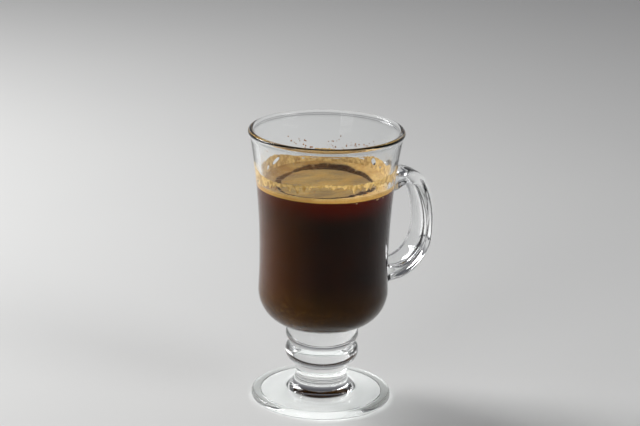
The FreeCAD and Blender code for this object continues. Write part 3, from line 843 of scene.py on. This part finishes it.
# Dried foam on the wall: angle in the front view, top of the band, its bottom, how thick.
DRIED = (
    (0, 124.6, 117.4, 0.75), (15, 121.6, 115.8, 0.85), (30, 122.4, 116.0, 0.95),
    (45, 122.2, 116.0, 0.95), (60, 120.8, 116.0, 0.90), (75, 122.8, 116.0, 0.95),
    (90, 123.6, 116.0, 1.0), (105, 123.4, 116.0, 1.0), (120, 121.4, 116.0, 0.75),
    (135, 122.0, 116.0, 0.95), (150, 122.9, 116.0, 1.0), (165, 122.6, 116.0, 1.0),
    (178, 123.4, 115.6, 0.85), (190, 125.0, 115.6, 0.80), (203, 122.8, 116.6, 0.85),
    (215, 121.9, 118.6, 0.95), (225, 122.0, 119.8, 0.95), (240, 122.3, 120.9, 1.0),
    (255, 123.0, 121.9, 0.90), (270, 123.9, 122.6, 1.0), (285, 123.7, 122.2, 1.0),
    (300, 123.4, 121.4, 1.0), (315, 123.7, 121.2, 1.0), (330, 124.4, 121.0, 0.95),
    (345, 125.0, 119.2, 0.90),
)
# Burst bubbles in it: angle, height, half width in degrees, half height, lean.
HOLES = ((145.5, 119.6, 6.6, 1.1, -0.14), (161.5, 118.5, 3.4, 1.1, -0.1), (39.0, 119.8, 3.8, 1.9, 0.1),
         (55.0, 119.9, 4.6, 0.6, 0.03), (82.0, 118.9, 7.0, 0.45, 0.02), (101.0, 119.1, 5.0, 0.5, -0.02),
         (27.0, 118.6, 1.6, 0.6, 0.0), (112.0, 118.4, 2.0, 0.5, 0.0), (346.0, 119.4, 3.2, 0.9, 0.12),
         (193.0, 117.6, 2.6, 0.5, 0.15), (302.0, 121.9, 1.4, 0.4, 0.0), (322.0, 122.2, 1.6, 0.5, 0.0))

# Drips that hang from it: angle, half width in degrees, length.
DRIPS = ((216, 1.4, 1.2), (221, 1.2, 0.9), (239, 2.2, 2.6), (246, 2.0, 3.6), (252, 1.8, 2.6), (257, 1.6, 1.6),
         (266, 1.5, 0.9), (276, 1.6, 1.0), (287, 1.6, 1.0), (295, 2.3, 2.8), (301, 1.5, 1.2), (307, 1.7, 1.8),
         (311, 1.5, 1.5), (319, 1.6, 2.8), (334, 1.8, 1.6), (341, 1.7, 1.2))


def drip_length(angle):
    """How far the longest drip at an angle hangs below the band; each tapers to its sides."""
    return max(long * max(0.0, 1 - abs(apart(angle, at)) / wide) for at, wide, long in DRIPS)


def dried_amount(angle, level):
    """How much dried foam there is at a place on the wall."""
    top, bottom, thick = between(DRIED, angle)
    a = math.radians(angle)
    at = Vector((math.cos(a), math.sin(a), 0.0))
    top += 0.55 * noise.fractal(at * 26 + Vector((0, 0, 8)), 0.6, 2.2, 4)
    bottom += 0.45 * noise.fractal(at * 12, 0.6, 2.2, 4)
    drip = drip_length(angle) + max(0.0, noise.noise(at * 40 + Vector((0, 0, 3)))) * 1.2
    drip += max(0.0, noise.noise(at * 80)) * 0.8
    amount = min(eased((top - level) / CRUST_FADE), eased((level - bottom + drip) / CRUST_FADE)) * thick
    patch = noise.fractal(Vector((at.x * 9, at.y * 9, level * 0.30)), 0.6, 2.1, 4)
    rim = eased((level - top + 1.4) / 1.2)
    amount *= eased(0.95 + 0.6 * patch + 0.4 * rim)
    for hole, height_at, wide, tall, lean in HOLES:
        off = apart(angle, hole)
        amount *= eased(math.hypot(off / wide, (level - height_at - lean * off) / tall) * 2.2 - 1.6)
    return amount


def crust_level(row):
    return CRUST_LOW + (CRUST_HIGH - CRUST_LOW) * row / CRUST_LEVELS


def crust_cells(amounts):
    """The cells of the wall, as row and column, that carry any dried foam."""
    cells = set()
    for j in range(CRUST_LEVELS):
        for k in range(CRUST_TURNS):
            n = (k + 1) % CRUST_TURNS
            if max(amounts[j][k], amounts[j][n], amounts[j + 1][k], amounts[j + 1][n]) > CRUST_LEAST:
                cells.add((j, k))
    return cells


def crust_sides(j, k):
    """The four cells beside a cell, each with the two corners that it shares."""
    return (((j, k - 1), (j, k), (j + 1, k)), ((j, k + 1), (j + 1, k + 1), (j, k + 1)),
            ((j - 1, k), (j, k + 1), (j, k)), ((j + 1, k), (j + 1, k), (j + 1, k + 1)))


def make_dried_foam():
    """A thin crust on the inside of the glass, cut off where there is none."""
    amounts = [[dried_amount(360 * k / CRUST_TURNS, crust_level(j)) for k in range(CRUST_TURNS)]
               for j in range(CRUST_LEVELS + 1)]
    cells = crust_cells(amounts)
    verts, films, faces, known = [], [], [], {}

    def corner(j, k, depth):
        """The number of a point on the wall's side of the crust, or at depth 1 on its free side."""
        key = (j, k % CRUST_TURNS, depth)
        if key not in known:
            level, amount = crust_level(j), amounts[j][k % CRUST_TURNS]
            reach = inside_radius(level) + CRUST_BITE - depth * (CRUST_THIN + CRUST_THICKENS * amount)
            known[key] = len(verts)
            verts.append(around(360 * k / CRUST_TURNS, reach, level))
            films.append(amount)
        return known[key]

    for j, k in cells:
        faces.append([corner(j, k, 1), corner(j + 1, k, 1), corner(j + 1, k + 1, 1), corner(j, k + 1, 1)])
        faces.append([corner(j, k, 0), corner(j, k + 1, 0), corner(j + 1, k + 1, 0), corner(j + 1, k, 0)])
        for (next_j, next_k), first, second in crust_sides(j, k):
            if (next_j, next_k % CRUST_TURNS) not in cells:
                faces.append([corner(*first, 0), corner(*second, 0), corner(*second, 1), corner(*first, 1)])
    crust = piece("dried_foam", verts, faces, dried_foam())
    mark(crust, "film", films)
    face_outwards(crust)
    return crust


# ---------------------------------------------------------------- scattered things
def open_tree(name):
    """A tree with named inputs for what a scatter is given, and an output for its grains."""
    tree = bpy.data.node_groups.new(name, "GeometryNodeTree")
    face = tree.interface
    face.new_socket("Surface", in_out="INPUT", socket_type="NodeSocketGeometry")
    for label in ("Spacing", "Density", "Smallest", "Largest", "Flatness"):
        face.new_socket(label, in_out="INPUT", socket_type="NodeSocketFloat")
    face.new_socket("Seed", in_out="INPUT", socket_type="NodeSocketInt")
    face.new_socket("Grains", in_out="OUTPUT", socket_type="NodeSocketGeometry")
    return tree


def tree_node(tree, kind, settings, links):
    """A new node in a tree, with its settings and the values or links of its sockets."""
    node = tree.nodes.new(kind)
    for key, value in settings.items():
        setattr(node, key, value)
    for key, value in links.items():
        socket = node.inputs[key.replace("_", " ")]
        if isinstance(value, bpy.types.NodeSocket):
            tree.links.new(value, socket)
        else:
            socket.default_value = value
    return node


def scatter_tree(name, finish):
    """Small round grains over a surface, thicker where its spread attribute is higher."""
    tree = open_tree(name)

    def add(kind, settings=None, **links):
        return tree_node(tree, kind, settings or {}, links)

    given = tree.nodes.new("NodeGroupInput").outputs
    spread = add("GeometryNodeInputNamedAttribute", {"data_type": "FLOAT"}, Name="spread")
    points = add("GeometryNodeDistributePointsOnFaces", {"distribute_method": "POISSON"},
                 Mesh=given["Surface"], Distance_Min=given["Spacing"], Density_Max=given["Density"],
                 Density_Factor=spread.outputs[0], Seed=given["Seed"])
    grain = add("GeometryNodeMeshIcoSphere", Radius=1.0, Subdivisions=2)
    size = add("FunctionNodeRandomValue", {"data_type": "FLOAT"}, Seed=given["Seed"])
    for label, index in (("Smallest", 2), ("Largest", 3)):
        tree.links.new(given[label], size.inputs[index])
    squash = add("ShaderNodeCombineXYZ", X=1.0, Y=1.0, Z=given["Flatness"])
    scale = add("ShaderNodeVectorMath", {"operation": "SCALE"}, Vector=squash.outputs[0],
                Scale=size.outputs[1])
    placed = add("GeometryNodeInstanceOnPoints", Points=points.outputs["Points"], Instance=grain.outputs[0],
                 Rotation=points.outputs["Rotation"], Scale=scale.outputs[0])
    real = add("GeometryNodeRealizeInstances", Geometry=placed.outputs[0])
    smooth = add("GeometryNodeSetShadeSmooth", Geometry=real.outputs[0])
    coat = add("GeometryNodeSetMaterial", Geometry=smooth.outputs[0], Material=finish)
    tree.links.new(coat.outputs[0], tree.nodes.new("NodeGroupOutput").inputs["Grains"])
    return tree


def scatter(name, verts, faces, spreads, finish, **sizes):
    """Grains scattered over a helper surface, which is not kept."""
    base = piece(name, verts, faces, finish)
    mark(base, "spread", spreads)
    modifier = base.modifiers.new("grains", "NODES")
    modifier.node_group = scatter_tree(name, finish)
    for item in modifier.node_group.interface.items_tree:
        if item.in_out == "INPUT" and item.name in sizes:
            modifier[item.identifier] = sizes[item.name]
    settle(base)
    return base


def foam_band(inner=4, margin=0.5, rings=60):
    """A helper surface on the foam's top, with how likely bubbles are at each place."""
    verts, rows, spreads = [], [], []
    for j in range(rings + 1):
        radius = inner + (foam_edge - margin - inner) * j / rings
        ring = []
        for x, y in ((radius * way_x, radius * way_y) for way_x, way_y in compass(HELPER_TURNS)):
            cover = foam_cover(x, y)
            ring.append((x, y, foam_level(x, y, cover) - 0.05))
            clump = 0.12 + 0.88 * eased(ripple(x, y, 6.0, 0.22) * 2.2)
            outward = 0.25 + 0.75 * eased((radius - 23) / 6)
            spreads.append(eased((cover - 0.4) / 0.4) * clump * outward)
        rows.append(add_row(verts, ring))
    return verts, skin(rows), spreads


def wall_band(low, high, chance, offset=-0.05, levels=20):
    """A helper band on the inside of the glass, with how likely grains are at each place."""
    verts, rows, spreads = [], [], []
    for j in range(levels + 1):
        level = low + (high - low) * j / levels
        reach = inside_radius(level) + offset
        angles = [360 * k / HELPER_TURNS for k in range(HELPER_TURNS)]
        rows.append(add_row(verts, [around(angle, reach, level) for angle in angles]))
        spreads += [chance(angle, level) for angle in angles]
    return verts, skin(rows, inside_out=True), spreads


def ground_chance(angle, level):
    """Grounds cling to the far wall above the foam, with a few on the left."""
    back = eased((angle - 30) / 20) * eased((140 - angle) / 20) * eased((131 - level) / 4)
    left = 0.25 * eased((angle - 148) / 10) * eased((172 - angle) / 10)
    near_foam = eased((123.5 - level) / 2.5) * 0.35
    clump = eased(ripple(math.radians(angle) * 5, level * 0.4, 2.0, 1) * 2 + 0.3)
    return min(1.0, (back + left + near_foam) * clump)


# Groups of bubbles under the foam's edge: angle in the front view, half width in degrees, how many.
EDGE_GROUPS = ((325, 7, 1.0), (300, 3, 0.3), (232, 4, 0.35), (95, 9, 0.6), (160, 6, 0.5), (30, 8, 0.5))


def edge_chance(angle, _level):
    return max(amount * eased(1.2 - abs(apart(angle, at)) / wide) for at, wide, amount in EDGE_GROUPS)


def make_bubbles():
    """Bubbles standing in the foam, most of them on the ridge by the wall."""
    return scatter("foam_bubbles", *foam_band(), bubble_skin(), Spacing=0.0009, Density=900000.0,
                   Smallest=0.00016, Largest=0.00048, Flatness=0.8, Seed=7)


def make_edge_bubbles():
    band = wall_band(coffee_level - 0.9, coffee_level + 0.2, edge_chance, 0.1)
    return scatter("edge_bubbles", *band, bubble_skin(), Spacing=0.0009, Density=900000.0,
                   Smallest=0.00016, Largest=0.00044, Flatness=0.8, Seed=11)


def make_grounds():
    band = wall_band(117.5, 137.5, ground_chance)
    return scatter("coffee_grounds", *band, coffee_grounds(), Spacing=0.0007, Density=900000.0,
                   Smallest=0.00010, Largest=0.00046, Flatness=0.5, Seed=3)


# ---------------------------------------------------------------- stage
def set_camera():
    """The front view: a long lens from a little above, with a slight roll."""
    yaw, pitch, roll = (math.radians(a) for a in (-0.13, 17.5, 1.32))
    ahead = Vector((math.sin(yaw) * math.cos(pitch), math.cos(yaw) * math.cos(pitch), -math.sin(pitch)))
    right = Vector((math.cos(yaw), -math.sin(yaw), 0))
    up = right.cross(ahead)
    across = math.cos(roll) * right + math.sin(roll) * up
    above = -math.sin(roll) * right + math.cos(roll) * up
    place = Matrix((across, above, -ahead)).transposed().to_4x4()
    place.translation = Vector((0, -1.0818, 0.4398))
    camera = bpy.data.objects.new("camera", bpy.data.cameras.new("camera"))
    camera.data.lens = 126
    camera.data.sensor_width = 36
    camera.data.clip_start = 0.05
    camera.matrix_world = Matrix.Rotation(math.radians(FACING), 4, "Z") @ place
    bpy.context.scene.collection.objects.link(camera)
    bpy.context.scene.camera = camera


def set_floor():
    """Four metres of floor each way."""
    far = 4000
    corners = [(-far, -far, 0), (far, -far, 0), (far, far, 0), (-far, far, 0)]
    piece("floor", corners, [(0, 1, 2, 3)], pale_floor())


def add_softbox(name, place, width, tall, power):
    """A soft rectangular lamp, aimed at the middle of the glass."""
    light = bpy.data.lights.new(name, "AREA")
    light.shape = "RECTANGLE"
    light.size, light.size_y = width, tall
    light.energy = power
    lamp = bpy.data.objects.new(name, light)
    lamp.location = place
    aim = Vector((0, 0, 0.07)) - Vector(place)
    lamp.rotation_euler = aim.to_track_quat("-Z", "Y").to_euler()
    bpy.context.scene.collection.objects.link(lamp)


def set_world():
    world = bpy.data.worlds.new("studio")
    bpy.context.scene.world = world
    mix = Shade(world)
    up = mix.part(mix.coordinates("Generated"), "Z")
    colour = mix.node("ShaderNodeValToRGB", {"stops": SKY}, up)
    mix.surface(mix.node("ShaderNodeBackground", {}, colour, 1.0), "ShaderNodeOutputWorld")


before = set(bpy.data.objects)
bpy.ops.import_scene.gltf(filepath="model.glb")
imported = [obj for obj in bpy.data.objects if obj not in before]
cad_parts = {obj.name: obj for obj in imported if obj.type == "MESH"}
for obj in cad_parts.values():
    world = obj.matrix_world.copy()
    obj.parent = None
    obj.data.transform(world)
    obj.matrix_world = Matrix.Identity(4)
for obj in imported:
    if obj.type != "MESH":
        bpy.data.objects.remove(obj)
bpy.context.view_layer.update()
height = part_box("glass_mug")[1].z / MM
coffee_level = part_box("coffee")[1].z / MM
drink_top = coffee_level - 0.02
foam_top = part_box("foam")[1].z / MM - 0.15
foam_middle = coffee_level + 0.75
foam_edge = inside_radius(foam_top) + FOAM_BITE

bpy.context.scene.view_settings.view_transform = "Standard"
set_camera()
set_floor()
set_world()
add_softbox("key", around(152, 0.85, 0.72), width=0.42, tall=0.6, power=12)
add_softbox("fill", around(-28, 1.2, 0.6), width=0.6, tall=0.6, power=7)
add_softbox("side", around(238, 1.2, 0.55), width=0.5, tall=0.7, power=3.6)

glass = make_glass()
coffee = make_coffee()
foam = make_foam()
crust = make_dried_foam()
bubbles = make_bubbles()
beads = make_edge_bubbles()
grounds = make_grounds()
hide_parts("glass_mug")
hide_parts("coffee")
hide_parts("foam")
for made, slot in ((glass, "glass"), (coffee, "coffee"), (foam, "foam"), (crust, "foam"),
                   (bubbles, "foam"), (beads, "foam"), (grounds, "coffee")):
    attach(made, "root")
